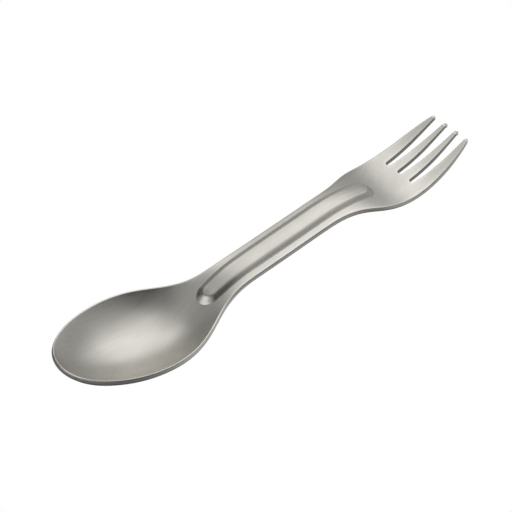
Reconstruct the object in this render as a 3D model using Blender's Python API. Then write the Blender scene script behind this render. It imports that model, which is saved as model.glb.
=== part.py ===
"""One-piece camping spoon-fork, pressed from titanium sheet.

A spoon bowl and a four-tine fork share one handle, stiffened by a raised rib. The sheet runs
along X from the bowl's tip to the tine tips, Z is up, and it lies as it rests on a table.
Lengths below are in millimetres, and stations are distances from the bowl's tip.
"""

import math

import bpy
import numpy as np
from mathutils import Vector
from mathutils.geometry import delaunay_2d_cdt
from mathutils.kdtree import KDTree

MM = 0.001

LENGTH = 170.1
THICKNESS = 1.8
# The tines thin out from this station to this thickness at their tips.
TAPER_START = 156
TIP_THICKNESS = 1.25
# How far the sheet's edge turns from square to its faces (0) to upright (1)
EDGE_UPRIGHT = 0.6
# (station, radius) of the rounding along the sheet's sides, and its radius inside the slots
SIDE_RADII = ((0, 0.65), (150, 0.65), (168, 0.3))
SLOT_RADIUS = 0.2

# (station, half width) of the outline, and (station, height) of its upper edge above the table
HALF_WIDTHS = (
    (0, 0), (3, 8.2), (8, 12.5), (16, 16.1), (28, 18.1), (40, 16.8), (50, 12.8), (58, 9.0),
    (66, 7.0), (76, 6.6), (92, 6.6), (108, 6.6), (116, 7.0), (123, 8.4), (130, 10.5),
    (138, 11.4), (148, 11.3), (158, 10.4), (168, 8.5), (170, 7.9),
)
EDGE_HEIGHTS = (
    (0, 18.2), (12, 15.2), (28, 11.7), (44, 8.7), (56, 7.1), (68, 8.6), (78, 8.8), (104, 8.7),
    (112, 8.5), (124, 6.3), (136, 2.6), (148, 1.7), (160, 4.1), (170, 7.2),
)

# Cross curvature: how much the sheet hollows (+) or crowns (-) between its edges, per mm
CROSS_CURVATURES = (
    (0, 0.054), (10, 0.037), (20, 0.030), (30, 0.028), (40, 0.029), (48, 0.030), (56, 0.024),
    (63, 0.014), (70, -0.004), (84, -0.019), (104, -0.021), (116, -0.020), (126, -0.008),
    (138, -0.005), (148, -0.003), (158, 0.001), (170, 0.004),
)

# Rib: a raised, round-ended band with a crowned top, narrower at the bowl's end. A profile
# under 1 makes its foot sharper and its shoulder rounder.
RIB_START = 56.2
RIB_END = 131.7
RIB_HALF_WIDTH = 4.3
RIB_WALL = 2.4
RIB_PROFILE = 0.68
RIB_CROWN = 0.15
RIB_HEIGHTS = ((56, 1.95), (68, 1.3), (92, 1.1), (118, 1.2), (132, 1.8))
RIB_SPREADS = ((56, 0.88), (66, 0.96), (78, 1), (110, 1), (132, 1))

# Slots between the tines, as (station, half width) of each and (station, centre) of the side ones
SLOT_ROOT = 145.0
SLOT_ROUND = 1.0
SLOT_HALF_WIDTHS = ((146, 0.95), (159, 1.45), (170, 1.9))
SIDE_SLOT_CENTRES = ((146, 5.5), (159, 5.35), (170, 5.0))
TIP_ROUND = 0.6
OUTER_TINE_SHORTER = 0.6
TIP_BEVEL_LENGTH = 1.6
TIP_BEVEL_DROP = 0.7

# Mesh spacing
EDGE_STEP = 2.4
FACE_STEP = 2.6
TURN_POINTS = 6
EDGE_RING_ANGLES = (45, 90)
RIB_CONTOURS = (0.0, 0.35, 0.8, 1.4, 2.1)


def curve_through(stations):
    """A natural cubic spline through (station, value) pairs, as a function of the station."""
    at, value = np.array(stations, float).T
    gap = np.diff(at)
    rise = np.diff(value) / gap
    system = np.eye(len(at))
    bend = np.zeros(len(at))
    for i in range(1, len(gap)):
        system[i, i - 1 : i + 2] = gap[i - 1], 2 * (gap[i - 1] + gap[i]), gap[i]
        bend[i] = 6 * (rise[i] - rise[i - 1])
    bend = np.linalg.solve(system, bend)

    def curve(x):
        i = np.clip(np.searchsorted(at, x) - 1, 0, len(gap) - 1)
        before = x - at[i]
        after = at[i + 1] - x
        cubic = (bend[i] * after**3 + bend[i + 1] * before**3) / (6 * gap[i])
        start = (value[i] / gap[i] - bend[i] * gap[i] / 6) * after
        end = (value[i + 1] / gap[i] - bend[i + 1] * gap[i] / 6) * before
        return cubic + start + end

    return curve


# The squares of the half widths make a curve, so that the bowl's tip comes out round.
half_width_squared = curve_through([(x, w * w) for x, w in HALF_WIDTHS])
edge_height = curve_through(EDGE_HEIGHTS)
cross_curvature = curve_through(CROSS_CURVATURES)
rib_height = curve_through(RIB_HEIGHTS)
rib_spread = curve_through(RIB_SPREADS)


def half_width(x):
    return np.sqrt(np.maximum(half_width_squared(x), 0))


def smooth_step(t):
    t = np.clip(t, 0, 1)
    return t * t * (3 - 2 * t)


def thickness(x):
    toward_tip = smooth_step((x - TAPER_START) / (LENGTH - TAPER_START))
    return THICKNESS - (THICKNESS - TIP_THICKNESS) * toward_tip


def edge_radius(loop):
    """Radius of the rounding at each point of the outline."""
    x, y = loop.T
    in_slot = np.abs(y) < half_width(x) - 0.05
    return np.where(in_slot, SLOT_RADIUS, np.interp(x, *np.transpose(SIDE_RADII)))


def upper_height(x, y):
    """Height of the sheet's upper face above the table."""
    hollow = cross_curvature(x) * np.maximum(half_width_squared(x) - y * y, 0)
    past_end = np.maximum(RIB_START + RIB_HALF_WIDTH - x, x - RIB_END + RIB_HALF_WIDTH)
    inside_foot = RIB_HALF_WIDTH - np.hypot(np.maximum(past_end, 0), y / rib_spread(x))
    rib = rib_height(x) * smooth_step(inside_foot / RIB_WALL) ** RIB_PROFILE
    rib *= 1 - RIB_CROWN * (1 - inside_foot / RIB_HALF_WIDTH)
    bevel = TIP_BEVEL_DROP * smooth_step((x - LENGTH + TIP_BEVEL_LENGTH) / TIP_BEVEL_LENGTH)
    return edge_height(x) - hollow + rib - bevel


def evenly(points, step):
    """A dense line of points thinned to equal steps, without its last point."""
    length = np.append(0, np.cumsum(np.hypot(*np.diff(points, axis=0).T)))
    count = max(2, round(length[-1] / step))
    at = np.linspace(0, length[-1], count, endpoint=False)
    return np.stack([np.interp(at, length, side) for side in points.T], axis=1)


def side_line(side, start, end):
    """Dense points along a side curve, from one station to another."""
    x = start + (end - start) * (1 - np.cos(np.linspace(0, math.pi, 400))) / 2
    return np.stack([x, side(x)], axis=1)


def turn(left, right, base, end):
    """Points of a half ellipse from one side curve to the other, round a tine's or slot's end."""
    angle = np.linspace(0, math.pi, TURN_POINTS, endpoint=False)
    x = base + (end - base) * np.sin(angle)
    middle = (left(x) + right(x)) / 2
    half = (left(x) - right(x)) / 2
    return np.stack([x, middle + half * np.cos(angle)], axis=1)


def outline():
    """The sheet's outline as one loop, clockwise from above, from the bowl's tip."""
    slot_half = curve_through(SLOT_HALF_WIDTHS)
    side_centre = curve_through(SIDE_SLOT_CENTRES)

    def slot_inner(x):
        return side_centre(x) - slot_half(x)

    def slot_outer(x):
        return side_centre(x) + slot_half(x)

    root = SLOT_ROOT + SLOT_ROUND
    outer_end = LENGTH - OUTER_TINE_SHORTER
    outer_base = outer_end - TIP_ROUND
    inner_base = LENGTH - TIP_ROUND
    centre_turn = turn(slot_half, lambda x: -slot_half(x), root, SLOT_ROOT)
    half = np.concatenate(
        [
            evenly(side_line(half_width, 0, outer_base), EDGE_STEP),
            turn(half_width, slot_outer, outer_base, outer_end),
            evenly(side_line(slot_outer, outer_base, root), EDGE_STEP),
            turn(slot_outer, slot_inner, root, SLOT_ROOT),
            evenly(side_line(slot_inner, root, inner_base), EDGE_STEP),
            turn(slot_inner, slot_half, inner_base, LENGTH),
            evenly(side_line(slot_half, inner_base, root), EDGE_STEP),
            centre_turn[: TURN_POINTS // 2 + 1],
        ]
    )
    return np.concatenate([half, half[-2:0:-1] * (1, -1)])


def outward(loop):
    """Unit normals in plan of a clockwise loop, pointing out of it."""
    along = np.roll(loop, -1, axis=0) - np.roll(loop, 1, axis=0)
    along /= np.linalg.norm(along, axis=1, keepdims=True)
    return along[:, ::-1] * (-1, 1)


def rib_contour(inset):
    """A line round the rib at an even distance inside its foot."""
    radius = RIB_HALF_WIDTH - inset
    straight = RIB_END - RIB_START - 2 * RIB_HALF_WIDTH
    angle = np.linspace(-math.pi / 2, math.pi / 2, 200)
    end = np.stack([straight / 2 + radius * np.cos(angle), radius * np.sin(angle)], axis=1)
    loop = np.concatenate([end, -end, end[:1]])
    contour = evenly(loop, EDGE_STEP) + ((RIB_START + RIB_END) / 2, 0)
    contour[:, 1] *= rib_spread(contour[:, 0])
    return contour


def plan_mesh():
    """Plan points and triangles of the sheet, with its edge's points first, and that edge's
    normals and radii of rounding."""
    loop = outline()
    normals = outward(loop)
    radii = edge_radius(loop)[:, None]
    edge = loop - radii * normals
    contours = [rib_contour(inset) for inset in RIB_CONTOURS]
    loops = [edge, *contours]
    fixed = np.concatenate(loops)
    tree = KDTree(len(fixed))
    for i, (x, y) in enumerate(fixed):
        tree.insert((x, y, 0), i)
    tree.balance()

    rows = int(max(w for _, w in HALF_WIDTHS) / FACE_STEP) + 1
    columns = int(LENGTH / FACE_STEP) + 1
    filling = []
    for row in range(-rows, rows + 1):
        for column in range(columns + 1):
            x = (column + 0.5 * (row % 2)) * FACE_STEP
            y = row * FACE_STEP * math.sqrt(3) / 2
            nearest, i, distance = tree.find((x, y, 0))
            on_sheet = i >= len(edge) or (x - nearest.x, y - nearest.y) @ normals[i] < 0
            if on_sheet and distance > FACE_STEP / 2:
                filling.append((x, y))

    points = np.concatenate([fixed, filling])
    borders = []
    first = 0
    for ring in loops:
        borders += [(first + i, first + (i + 1) % len(ring)) for i in range(len(ring))]
        first += len(ring)
    inside_borders = 1
    cdt = delaunay_2d_cdt([Vector(p) for p in points], borders, [], inside_borders, 1e-6)
    source = [group[0] for group in cdt[3]]
    triangles = [[source[i] for i in face] for face in cdt[2]]
    return points, triangles, normals, radii


def sheet_frame(points):
    """Upper face points over plan points, with the face's unit normals and slopes."""
    small = 0.01
    x, y = points.T
    slope_x = (upper_height(x + small, y) - upper_height(x - small, y)) / (2 * small)
    slope_y = (upper_height(x, y + small) - upper_height(x, y - small)) / (2 * small)
    upper = np.stack([x, y, upper_height(x, y)], axis=1)
    normal = np.stack([-slope_x, -slope_y, np.ones(len(x))], axis=1)
    normal /= np.linalg.norm(normal, axis=1, keepdims=True)
    return upper, normal, np.stack([slope_x, slope_y], axis=1)


def sheet_mesh():
    """The closed sheet: upper face, rounded edge and lower face."""
    points, triangles, plan_normals, radii = plan_mesh()
    edge_count = len(radii)
    upper, normal, slopes = sheet_frame(points)
    through = normal * (1 - EDGE_UPRIGHT) + (0, 0, EDGE_UPRIGHT)
    through /= np.linalg.norm(through, axis=1, keepdims=True)
    lower = upper - thickness(points[:, :1]) * through

    climb = np.sum(slopes[:edge_count] * plan_normals, axis=1)
    out = np.column_stack([plan_normals, climb])
    out /= np.linalg.norm(out, axis=1, keepdims=True)
    up = through[:edge_count]
    rings = []
    for face, side, angles in (
        (upper, 1, EDGE_RING_ANGLES),
        (lower, -1, EDGE_RING_ANGLES[::-1]),
    ):
        for angle in np.radians(angles):
            reach = math.sin(angle) * out - side * (1 - math.cos(angle)) * up
            rings.append(face[:edge_count] + radii * reach)

    vertices = np.concatenate([upper, lower, *rings])
    vertices[:, 2] = np.maximum(vertices[:, 2], 0)
    count = len(points)
    faces = list(triangles)
    faces += [[count + i for i in reversed(triangle)] for triangle in triangles]
    starts = [0, *(2 * count + ring * edge_count for ring in range(len(rings))), count]
    for above, below in zip(starts, starts[1:]):
        for i in range(edge_count):
            after = (i + 1) % edge_count
            faces.append([above + i, above + after, below + after, below + i])

    mesh = bpy.data.meshes.new("spoon_fork")
    mesh.from_pydata((vertices * MM).tolist(), [], faces)
    mesh.shade_smooth()
    return mesh


def titanium():
    """Bare titanium, tumbled to a soft satin."""
    material = bpy.data.materials.new("titanium")
    material.use_nodes = True
    shader = material.node_tree.nodes["Principled BSDF"]
    shader.inputs["Base Color"].default_value = (0.63, 0.61, 0.57, 1)
    shader.inputs["Metallic"].default_value = 1.0
    shader.inputs["Roughness"].default_value = 0.4
    return material


for old in list(bpy.data.objects):
    bpy.data.objects.remove(old, do_unlink=True)

spoon_fork = bpy.data.objects.new("spoon_fork", sheet_mesh())
spoon_fork.data.materials.append(titanium())
ends = [vertex.co.x for vertex in spoon_fork.data.vertices]
spoon_fork.location.x = -(min(ends) + max(ends)) / 2
bpy.context.scene.collection.objects.link(spoon_fork)
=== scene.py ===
"""Looks of a one-piece camping spoon-fork: a fine pressed sheet of satin titanium, a pale floor,
soft studio lights and the camera.

Lengths in the shape section are in millimetres, and stations are distances from the bowl's tip.
"""

import math

import bpy
import numpy as np
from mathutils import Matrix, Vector
from mathutils.geometry import delaunay_2d_cdt
from mathutils.kdtree import KDTree


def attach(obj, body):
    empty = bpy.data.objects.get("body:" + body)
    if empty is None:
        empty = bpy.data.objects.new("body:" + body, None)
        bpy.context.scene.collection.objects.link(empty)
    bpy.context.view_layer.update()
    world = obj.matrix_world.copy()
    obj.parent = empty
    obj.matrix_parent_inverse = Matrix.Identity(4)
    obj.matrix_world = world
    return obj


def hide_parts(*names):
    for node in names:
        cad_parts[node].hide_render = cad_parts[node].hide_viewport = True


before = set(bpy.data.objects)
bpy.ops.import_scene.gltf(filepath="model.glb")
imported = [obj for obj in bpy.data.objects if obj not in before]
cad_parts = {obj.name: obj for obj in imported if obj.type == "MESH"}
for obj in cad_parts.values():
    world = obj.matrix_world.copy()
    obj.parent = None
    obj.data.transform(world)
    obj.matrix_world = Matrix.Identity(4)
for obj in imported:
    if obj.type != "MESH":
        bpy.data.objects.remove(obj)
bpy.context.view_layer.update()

MM = 0.001

# ---------------------------------------------------------------- shape of the sheet

LENGTH = 170.1
THICKNESS = 1.8
# The tines thin out from this station to this thickness at their tips.
TAPER_START = 156
TIP_THICKNESS = 1.25
# How far the sheet's edge turns from square to its faces (0) to upright (1)
EDGE_UPRIGHT = 0.6
# (station, radius) of the rounding along the sheet's sides, and its radius inside the slots
SIDE_RADII = ((0, 0.65), (150, 0.65), (168, 0.3))
SLOT_RADIUS = 0.2

# (station, half width) of the outline, and (station, height) of its upper edge above the table
HALF_WIDTHS = (
    (0, 0), (3, 8.2), (8, 12.5), (16, 16.1), (28, 18.1), (40, 16.8), (50, 12.8), (58, 9.0),
    (66, 7.0), (76, 6.6), (92, 6.6), (108, 6.6), (116, 7.0), (123, 8.4), (130, 10.5),
    (138, 11.4), (148, 11.3), (158, 10.4), (168, 8.5), (170, 7.9),
)
EDGE_HEIGHTS = (
    (0, 18.2), (12, 15.2), (28, 11.7), (44, 8.7), (56, 7.1), (68, 8.6), (78, 8.8), (104, 8.7),
    (112, 8.5), (124, 6.3), (136, 2.6), (148, 1.7), (160, 4.1), (170, 7.2),
)

# Cross curvature: how much the sheet hollows (+) or crowns (-) between its edges, per mm
CROSS_CURVATURES = (
    (0, 0.054), (10, 0.037), (20, 0.030), (30, 0.028), (40, 0.029), (48, 0.030), (56, 0.024),
    (63, 0.014), (70, -0.004), (84, -0.019), (104, -0.021), (116, -0.020), (126, -0.008),
    (138, -0.005), (148, -0.003), (158, 0.001), (170, 0.004),
)

# Rib: a raised, round-ended band with a crowned top, narrower at the bowl's end. A profile
# under 1 makes its foot sharper and its shoulder rounder.
RIB_START = 56.2
RIB_END = 131.7
RIB_HALF_WIDTH = 4.3
RIB_WALL = 2.4
RIB_PROFILE = 0.68
RIB_CROWN = 0.15
RIB_HEIGHTS = ((56, 1.95), (68, 1.3), (92, 1.1), (118, 1.2), (132, 1.8))
RIB_SPREADS = ((56, 0.88), (66, 0.96), (78, 1), (110, 1), (132, 1))

# Slots between the tines, as (station, half width) of each and (station, centre) of the side ones
SLOT_ROOT = 145.0
SLOT_ROUND = 1.0
SLOT_HALF_WIDTHS = ((146, 0.95), (159, 1.45), (170, 1.9))
SIDE_SLOT_CENTRES = ((146, 5.5), (159, 5.35), (170, 5.0))
TIP_ROUND = 0.6
OUTER_TINE_SHORTER = 0.6
TIP_BEVEL_LENGTH = 1.6
TIP_BEVEL_DROP = 0.7

# How far inside the edges the finish is polished by handling
EDGE_WEAR = 1.1
# Brushing is aslant up to the first station on the bowl's near half, and from the second on
BOWL_BRUSHING_END = 58
FORK_BRUSHING_START = 118
# Share of brightness taken off by painted shade on the slots' walls and on the rib's side walls
SLOT_WALL_PAINTED_SHADE = 0.5
RIB_WALL_PAINTED_SHADE = 0.12

# Mesh spacing
EDGE_STEP = 0.45
FACE_STEP = 0.6
TURN_POINTS = 16
EDGE_RING_ANGLES = (15, 30, 45, 60, 75, 90)
RIB_CONTOURS = (-0.15, 0.0, 0.1, 0.25, 0.45, 0.7, 1.0, 1.3, 1.6, 1.9, 2.2, 2.4)


def curve_through(stations):
    """A natural cubic spline through (station, value) pairs, as a function of the station."""
    at, value = np.array(stations, float).T
    gap = np.diff(at)
    rise = np.diff(value) / gap
    system = np.eye(len(at))
    bend = np.zeros(len(at))
    for i in range(1, len(gap)):
        system[i, i - 1 : i + 2] = gap[i - 1], 2 * (gap[i - 1] + gap[i]), gap[i]
        bend[i] = 6 * (rise[i] - rise[i - 1])
    bend = np.linalg.solve(system, bend)

    def curve(x):
        i = np.clip(np.searchsorted(at, x) - 1, 0, len(gap) - 1)
        before = x - at[i]
        after = at[i + 1] - x
        cubic = (bend[i] * after**3 + bend[i + 1] * before**3) / (6 * gap[i])
        start = (value[i] / gap[i] - bend[i] * gap[i] / 6) * after
        end = (value[i + 1] / gap[i] - bend[i + 1] * gap[i] / 6) * before
        return cubic + start + end

    return curve


# The squares of the half widths make a curve, so that the bowl's tip comes out round.
half_width_squared = curve_through([(x, w * w) for x, w in HALF_WIDTHS])
edge_height = curve_through(EDGE_HEIGHTS)
cross_curvature = curve_through(CROSS_CURVATURES)
rib_height = curve_through(RIB_HEIGHTS)
rib_spread = curve_through(RIB_SPREADS)


def half_width(x):
    return np.sqrt(np.maximum(half_width_squared(x), 0))


def smooth_step(t):
    t = np.clip(t, 0, 1)
    return t * t * (3 - 2 * t)


def thickness(x):
    toward_tip = smooth_step((x - TAPER_START) / (LENGTH - TAPER_START))
    return THICKNESS - (THICKNESS - TIP_THICKNESS) * toward_tip


def edge_radius(loop):
    """Radius of the rounding at each point of the outline."""
    x, y = loop.T
    in_slot = np.abs(y) < half_width(x) - 0.05
    return np.where(in_slot, SLOT_RADIUS, np.interp(x, *np.transpose(SIDE_RADII)))


def upper_height(x, y):
    """Height of the sheet's upper face above the table."""
    hollow = cross_curvature(x) * np.maximum(half_width_squared(x) - y * y, 0)
    past_end = np.maximum(RIB_START + RIB_HALF_WIDTH - x, x - RIB_END + RIB_HALF_WIDTH)
    inside_foot = RIB_HALF_WIDTH - np.hypot(np.maximum(past_end, 0), y / rib_spread(x))
    rib = rib_height(x) * smooth_step(inside_foot / RIB_WALL) ** RIB_PROFILE
    rib *= 1 - RIB_CROWN * (1 - inside_foot / RIB_HALF_WIDTH)
    bevel = TIP_BEVEL_DROP * smooth_step((x - LENGTH + TIP_BEVEL_LENGTH) / TIP_BEVEL_LENGTH)
    return edge_height(x) - hollow + rib - bevel


def evenly(points, step):
    """A dense line of points thinned to equal steps, without its last point."""
    length = np.append(0, np.cumsum(np.hypot(*np.diff(points, axis=0).T)))
    count = max(2, round(length[-1] / step))
    at = np.linspace(0, length[-1], count, endpoint=False)
    return np.stack([np.interp(at, length, side) for side in points.T], axis=1)


def side_line(side, start, end):
    """Dense points along a side curve, from one station to another."""
    x = start + (end - start) * (1 - np.cos(np.linspace(0, math.pi, 2000))) / 2
    return np.stack([x, side(x)], axis=1)


def turn(left, right, base, end):
    """Points of a half ellipse from one side curve to the other, round a tine's or slot's end."""
    angle = np.linspace(0, math.pi, TURN_POINTS, endpoint=False)
    x = base + (end - base) * np.sin(angle)
    middle = (left(x) + right(x)) / 2
    half = (left(x) - right(x)) / 2
    return np.stack([x, middle + half * np.cos(angle)], axis=1)


def outline():
    """The sheet's outline as one loop, clockwise from above, from the bowl's tip."""
    slot_half = curve_through(SLOT_HALF_WIDTHS)
    side_centre = curve_through(SIDE_SLOT_CENTRES)

    def slot_inner(x):
        return side_centre(x) - slot_half(x)

    def slot_outer(x):
        return side_centre(x) + slot_half(x)

    root = SLOT_ROOT + SLOT_ROUND
    outer_end = LENGTH - OUTER_TINE_SHORTER
    outer_base = outer_end - TIP_ROUND
    inner_base = LENGTH - TIP_ROUND
    centre_turn = turn(slot_half, lambda x: -slot_half(x), root, SLOT_ROOT)
    half = np.concatenate(
        [
            evenly(side_line(half_width, 0, outer_base), EDGE_STEP),
            turn(half_width, slot_outer, outer_base, outer_end),
            evenly(side_line(slot_outer, outer_base, root), EDGE_STEP),
            turn(slot_outer, slot_inner, root, SLOT_ROOT),
            evenly(side_line(slot_inner, root, inner_base), EDGE_STEP),
            turn(slot_inner, slot_half, inner_base, LENGTH),
            evenly(side_line(slot_half, inner_base, root), EDGE_STEP),
            centre_turn[: TURN_POINTS // 2 + 1],
        ]
    )
    return np.concatenate([half, half[-2:0:-1] * (1, -1)])


def outward(loop):
    """Unit normals in plan of a clockwise loop, pointing out of it."""
    along = np.roll(loop, -1, axis=0) - np.roll(loop, 1, axis=0)
    along /= np.linalg.norm(along, axis=1, keepdims=True)
    return along[:, ::-1] * (-1, 1)


def rib_contour(inset):
    """A line round the rib at an even distance inside its foot."""
    radius = RIB_HALF_WIDTH - inset
    straight = RIB_END - RIB_START - 2 * RIB_HALF_WIDTH
    angle = np.linspace(-math.pi / 2, math.pi / 2, 200)
    end = np.stack([straight / 2 + radius * np.cos(angle), radius * np.sin(angle)], axis=1)
    loop = np.concatenate([end, -end, end[:1]])
    contour = evenly(loop, EDGE_STEP) + ((RIB_START + RIB_END) / 2, 0)
    contour[:, 1] *= rib_spread(contour[:, 0])
    return contour


def plan_mesh():
    """Plan points and triangles of the sheet, with its edge's points first, and that edge's
    normals and radii of rounding."""
    loop = outline()
    normals = outward(loop)
    radii = edge_radius(loop)[:, None]
    edge = loop - radii * normals
    contours = [rib_contour(inset) for inset in RIB_CONTOURS]
    loops = [edge, *contours]
    fixed = np.concatenate(loops)
    tree = KDTree(len(fixed))
    for i, (x, y) in enumerate(fixed):
        tree.insert((x, y, 0), i)
    tree.balance()

    rows = int(max(w for _, w in HALF_WIDTHS) / FACE_STEP * 1.2)
    columns = int(LENGTH / FACE_STEP) + 1
    filling = []
    for row in range(-rows, rows + 1):
        for column in range(columns + 1):
            x = (column + 0.5 * (row % 2)) * FACE_STEP
            y = row * FACE_STEP * math.sqrt(3) / 2
            nearest, i, distance = tree.find((x, y, 0))
            on_sheet = i >= len(edge) or (x - nearest.x, y - nearest.y) @ normals[i] < 0
            if on_sheet and distance > FACE_STEP / 2:
                filling.append((x, y))

    points = np.concatenate([fixed, filling])
    borders = []
    first = 0
    for ring in loops:
        borders += [(first + i, first + (i + 1) % len(ring)) for i in range(len(ring))]
        first += len(ring)
    inside_borders = 1
    cdt = delaunay_2d_cdt([Vector(p) for p in points], borders, [], inside_borders, 1e-6)
    source = [group[0] for group in cdt[3]]
    triangles = [[source[i] for i in face] for face in cdt[2]]
    return points, triangles, normals, radii


def sheet_frame(points):
    """Upper face points over plan points, with the face's unit normals and slopes."""
    small = 0.01
    x, y = points.T
    slope_x = (upper_height(x + small, y) - upper_height(x - small, y)) / (2 * small)
    slope_y = (upper_height(x, y + small) - upper_height(x, y - small)) / (2 * small)
    upper = np.stack([x, y, upper_height(x, y)], axis=1)
    normal = np.stack([-slope_x, -slope_y, np.ones(len(x))], axis=1)
    normal /= np.linalg.norm(normal, axis=1, keepdims=True)
    return upper, normal, np.stack([slope_x, slope_y], axis=1)


def edge_distance(points, edge_count):
    """How far each plan point is from the sheet's edge, whose points come first."""
    tree = KDTree(edge_count)
    for i, (x, y) in enumerate(points[:edge_count]):
        tree.insert((x, y, 0), i)
    tree.balance()
    return np.array([tree.find((x, y, 0))[2] for x, y in points])


def finish(points, vertices, edge_count, ring_painted_shade):
    """How far each vertex is worn, brushed aslant, and darkened by painted shade in the slots and
    on the rib's walls, each from 0 to 1.
    """
    on_faces = 2 * len(points)
    on_rings = len(vertices) - on_faces
    worn = 1 - smooth_step(edge_distance(points, edge_count) / EDGE_WEAR)

    # The fork and the bowl's near half are brushed aslant, the rest lengthwise.
    x, y, _ = vertices.T
    near_bowl = smooth_step((4 - y) / 8) * smooth_step((BOWL_BRUSHING_END - x) / 12)
    fork = smooth_step((x - FORK_BRUSHING_START) / 14)

    # Painted shade on the rib's side walls, fading out towards its ends.
    x, y = points.T
    inset = RIB_HALF_WIDTH - np.abs(y) / rib_spread(x)
    rib_wall_shade = smooth_step(inset) * smooth_step((RIB_WALL - 0.2 - inset) / 0.8)
    rib_wall_shade *= smooth_step((x - RIB_START - 2) / 6) * smooth_step((RIB_END - 2 - x) / 6)
    return {
        "edge_wear": np.concatenate([worn, worn, np.ones(on_rings)]),
        "cross_brushed": np.maximum(near_bowl, fork),
        "painted_slot_wall_shade": np.concatenate([np.zeros(on_faces), *ring_painted_shade]),
        "painted_rib_wall_shade": np.concatenate([rib_wall_shade, rib_wall_shade, np.zeros(on_rings)]),
    }


def sheet_mesh():
    """The closed sheet: upper face, rounded edge and lower face."""
    points, triangles, plan_normals, radii = plan_mesh()
    edge_count = len(radii)
    upper, normal, slopes = sheet_frame(points)
    through = normal * (1 - EDGE_UPRIGHT) + (0, 0, EDGE_UPRIGHT)
    through /= np.linalg.norm(through, axis=1, keepdims=True)
    lower = upper - thickness(points[:, :1]) * through

    climb = np.sum(slopes[:edge_count] * plan_normals, axis=1)
    out = np.column_stack([plan_normals, climb])
    out /= np.linalg.norm(out, axis=1, keepdims=True)
    up = through[:edge_count]
    facing = out - np.sum(out * up, axis=1, keepdims=True) * up
    facing /= np.linalg.norm(facing, axis=1, keepdims=True)
    rings = []
    ring_normals = []
    # Painted shade on the slots' walls, up to the tines' smoothed tips.
    slot_wall_shade = smooth_step((LENGTH - 0.5 - points[:edge_count, 0]) / 2) * (radii[:, 0] == SLOT_RADIUS)
    ring_painted_shade = []
    for face, side, angles in (
        (upper, 1, EDGE_RING_ANGLES),
        (lower, -1, EDGE_RING_ANGLES[::-1]),
    ):
        for angle in np.radians(angles):
            reach = math.sin(angle) * out - side * (1 - math.cos(angle)) * up
            rings.append(face[:edge_count] + radii * reach)
            turned = math.sin(angle) * facing + side * math.cos(angle) * normal[:edge_count]
            ring_normals.append(turned)
            ring_painted_shade.append(slot_wall_shade * math.sin(angle) ** 2)

    vertices = np.concatenate([upper, lower, *rings])
    normals = np.concatenate([normal, -normal, *ring_normals])
    normals[vertices[:, 2] < 0] = (0, 0, -1)
    vertices[:, 2] = np.maximum(vertices[:, 2], 0)
    count = len(points)
    faces = list(triangles)
    faces += [[count + i for i in reversed(triangle)] for triangle in triangles]
    starts = [0, *(2 * count + ring * edge_count for ring in range(len(rings))), count]
    for above, below in zip(starts, starts[1:]):
        for i in range(edge_count):
            after = (i + 1) % edge_count
            faces.append([above + i, above + after, below + after, below + i])

    attributes = finish(points, vertices, edge_count, ring_painted_shade)
    vertices[:, 0] -= (vertices[:, 0].min() + vertices[:, 0].max()) / 2
    mesh = bpy.data.meshes.new("spoon_fork_sheet")
    mesh.from_pydata((vertices * MM).tolist(), [], faces)
    mesh.shade_smooth()
    mesh.normals_split_custom_set_from_vertices(normals.tolist())

    for name, values in attributes.items():
        mesh.attributes.new(name, "FLOAT", "POINT").data.foreach_set("value", values)
    return mesh


# ---------------------------------------------------------------- materials


def grain(nodes, links, place, angle, length, width):
    """Streaks of the given length and width in mm, turned counter-clockwise from +X."""
    turn_streaks = nodes.new("ShaderNodeMapping")
    turn_streaks.vector_type = "TEXTURE"
    turn_streaks.inputs["Rotation"].default_value = (0, 0, math.radians(angle))
    turn_streaks.inputs["Scale"].default_value = (length * MM, width * MM, length * MM)
    noise = nodes.new("ShaderNodeTexNoise")
    noise.inputs["Scale"].default_value = 1.0
    noise.inputs["Detail"].default_value = 3.0
    noise.inputs["Roughness"].default_value = 0.6
    links.new(place, turn_streaks.inputs["Vector"])
    links.new(turn_streaks.outputs["Vector"], noise.inputs["Vector"])
    return noise.outputs["Fac"]


def mesh_value(nodes, name):
    attribute = nodes.new("ShaderNodeAttribute")
    attribute.attribute_name = name
    return attribute.outputs["Fac"]


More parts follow.
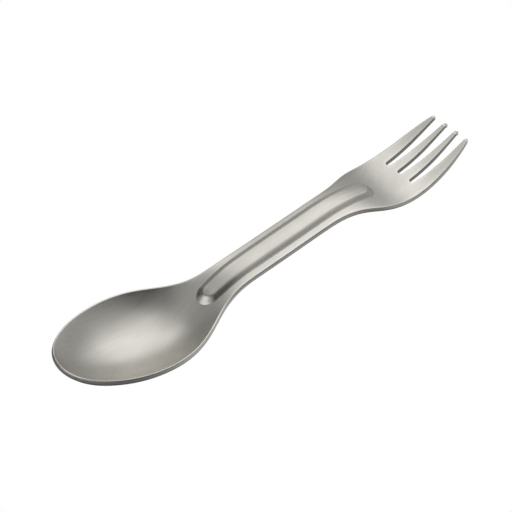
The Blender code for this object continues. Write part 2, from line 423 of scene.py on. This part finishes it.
def titanium():
    """Bare titanium: satin brushing, faint clouding, hairlines and polished edges, with painted
    shade on the walls in the slots and along the rib."""
    material = bpy.data.materials.new("titanium")
    material.use_nodes = True
    nodes, links = material.node_tree.nodes, material.node_tree.links
    shader = nodes["Principled BSDF"]
    shader.inputs["Metallic"].default_value = 1.0
    place = nodes.new("ShaderNodeTexCoord").outputs["Object"]

    def calculate(operation, first, second, third=None):
        step = nodes.new("ShaderNodeMath")
        step.operation = operation
        for socket, value in zip(step.inputs, (first, second, third)):
            if isinstance(value, bpy.types.NodeSocket):
                links.new(value, socket)
            elif value is not None:
                socket.default_value = value
        return step.outputs[0]

    brushing = nodes.new("ShaderNodeMix")
    links.new(mesh_value(nodes, "cross_brushed"), brushing.inputs["Factor"])
    links.new(grain(nodes, links, place, 3, 9, 0.3), brushing.inputs["A"])
    links.new(grain(nodes, links, place, 29, 7, 0.3), brushing.inputs["B"])
    streaks = calculate("SUBTRACT", brushing.outputs["Result"], 0.5)
    clouds = calculate("SUBTRACT", grain(nodes, links, place, 15, 14, 6), 0.5)
    hairlines = calculate("SUBTRACT", grain(nodes, links, place, 22, 16, 0.12), 0.66)
    hairlines = calculate("MINIMUM", calculate("MAXIMUM", hairlines, 0), 0.05)
    wear = calculate("MULTIPLY", mesh_value(nodes, "edge_wear"), calculate("ADD", clouds, 0.8))

    # Brightness of the metal, about 1: streaks and clouds, brighter hairlines and edges, and
    # painted shade on the walls in the slots and along the rib
    shade = calculate("MULTIPLY_ADD", streaks, 0.3, 1.0)
    shade = calculate("MULTIPLY_ADD", clouds, 0.14, shade)
    shade = calculate("MULTIPLY_ADD", hairlines, 1.2, shade)
    shade = calculate("MULTIPLY_ADD", wear, 0.06, shade)
    # Painted shade on the slots' walls
    shade = calculate("MULTIPLY_ADD", mesh_value(nodes, "painted_slot_wall_shade"), -SLOT_WALL_PAINTED_SHADE, shade)
    # Painted shade on the rib's side walls
    shade = calculate("MULTIPLY_ADD", mesh_value(nodes, "painted_rib_wall_shade"), -RIB_WALL_PAINTED_SHADE, shade)
    tint = nodes.new("ShaderNodeVectorMath")
    tint.operation = "SCALE"
    tint.inputs["Vector"].default_value = (0.626, 0.609, 0.566)
    links.new(shade, tint.inputs["Scale"])
    links.new(tint.outputs["Vector"], shader.inputs["Base Color"])

    roughness = calculate("MULTIPLY_ADD", streaks, 0.12, 0.4)
    roughness = calculate("MULTIPLY_ADD", clouds, -0.1, roughness)
    roughness = calculate("MULTIPLY_ADD", wear, -0.06, roughness)
    links.new(roughness, shader.inputs["Roughness"])

    relief = nodes.new("ShaderNodeBump")
    relief.inputs["Strength"].default_value = 0.25
    relief.inputs["Distance"].default_value = 0.01 * MM
    links.new(streaks, relief.inputs["Height"])
    links.new(relief.outputs["Normal"], shader.inputs["Normal"])
    return material


def floor_white():
    material = bpy.data.materials.new("floor_white")
    material.use_nodes = True
    nodes = material.node_tree.nodes
    nodes.clear()
    glow = nodes.new("ShaderNodeEmission")
    out = nodes.new("ShaderNodeOutputMaterial")
    material.node_tree.links.new(glow.outputs[0], out.inputs[0])
    return material


# ---------------------------------------------------------------- object

sheet = bpy.data.objects.new("spoon_fork_sheet", sheet_mesh())
sheet.data.materials.append(titanium())
bpy.context.scene.collection.objects.link(sheet)
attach(sheet, "root")
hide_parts("spoon_fork")

# ---------------------------------------------------------------- floor, lights and camera

half_floor = 3.0
floor_height = -0.0005
floor_mesh = bpy.data.meshes.new("floor")
corner_sides = ((-1, -1), (1, -1), (1, 1), (-1, 1))
corners = [(x * half_floor, y * half_floor, floor_height) for x, y in corner_sides]
floor_mesh.from_pydata(corners, [], [(0, 1, 2, 3)])
floor = bpy.data.objects.new("floor", floor_mesh)
floor_mesh.materials.append(floor_white())
floor.visible_glossy = False
bpy.context.scene.collection.objects.link(floor)

AIM = Vector((-0.00173, 0.00266, 0.005))


def around(azimuth, elevation, distance):
    """A place round the aim point: azimuth from -Y towards -X, elevation above the horizon."""
    azimuth, elevation = math.radians(azimuth), math.radians(elevation)
    flat = math.cos(elevation)
    return AIM + distance * Vector(
        (-math.sin(azimuth) * flat, -math.cos(azimuth) * flat, math.sin(elevation))
    )


# Round softboxes: (azimuth, elevation, distance, diameter, watts)
STUDIO_LIGHTS = (
    (240, 60, 0.9, 1.3, 2.6),
    (215, 40, 0.9, 0.8, 0.8),
    (250, 40, 0.9, 0.8, 0.55),
    (285, 55, 0.9, 0.8, 0.9),
    (285, 20, 0.9, 0.8, 0.35),
    (315, 20, 0.9, 0.8, 0.3),
    (195, 20, 0.9, 0.8, 0.3),
    (100, 30, 0.35, 0.3, 0.3),
    (60, 30, 0.35, 0.3, 0.1),
)


def softbox(azimuth, elevation, distance, diameter, watts):
    light = bpy.data.lights.new("softbox", "AREA")
    light.shape = "DISK"
    light.size = diameter
    light.energy = watts
    lamp = bpy.data.objects.new("softbox", light)
    lamp.location = around(azimuth, elevation, distance)
    lamp.rotation_euler = (AIM - lamp.location).to_track_quat("-Z", "Y").to_euler()
    bpy.context.scene.collection.objects.link(lamp)


for light in STUDIO_LIGHTS:
    softbox(*light)

# Light that the table throws back at the object's edges: strongest from beyond the fork, and
# weak from the shade right under the object
TABLE_GLOW = 0.38

world = bpy.data.worlds.new("studio")
world.use_nodes = True
nodes, links = world.node_tree.nodes, world.node_tree.links
direction = nodes.new("ShaderNodeSeparateXYZ")
links.new(nodes.new("ShaderNodeTexCoord").outputs["Generated"], direction.inputs[0])


def ramp(axis, start, end, at_start, at_end):
    """A smooth step along one axis of the direction that light comes from."""
    step = nodes.new("ShaderNodeMapRange")
    step.interpolation_type = "SMOOTHSTEP"
    names = ("From Min", "From Max", "To Min", "To Max")
    for name, value in zip(names, (start, end, at_start, at_end)):
        step.inputs[name].default_value = value
    links.new(direction.outputs[axis], step.inputs["Value"])
    return step.outputs["Result"]


def product(first, second):
    times = nodes.new("ShaderNodeMath")
    times.operation = "MULTIPLY"
    links.new(first, times.inputs[0])
    links.new(second, times.inputs[1])
    return times.outputs[0]


glow = product(ramp("Z", -0.1, 0.25, TABLE_GLOW, 0), ramp("Z", -0.92, -0.72, 0.25, 1))
glow = product(glow, ramp("X", -0.1, 0.7, 0.45, 1.5))
links.new(glow, nodes["Background"].inputs["Strength"])
nodes["Background"].inputs["Color"].default_value = (1, 1, 1, 1)
bpy.context.scene.world = world

camera_data = bpy.data.cameras.new("camera")
camera_data.lens = 219.8
camera_data.clip_end = 20
camera = bpy.data.objects.new("camera", camera_data)
camera.location = around(42.79, 46.47, 1.0)
camera.rotation_euler = (AIM - camera.location).to_track_quat("-Z", "Y").to_euler()
camera.rotation_euler.rotate_axis("Z", math.radians(-0.45))
bpy.context.scene.collection.objects.link(camera)
bpy.context.scene.camera = camera
bpy.context.scene.view_settings.view_transform = "Standard"
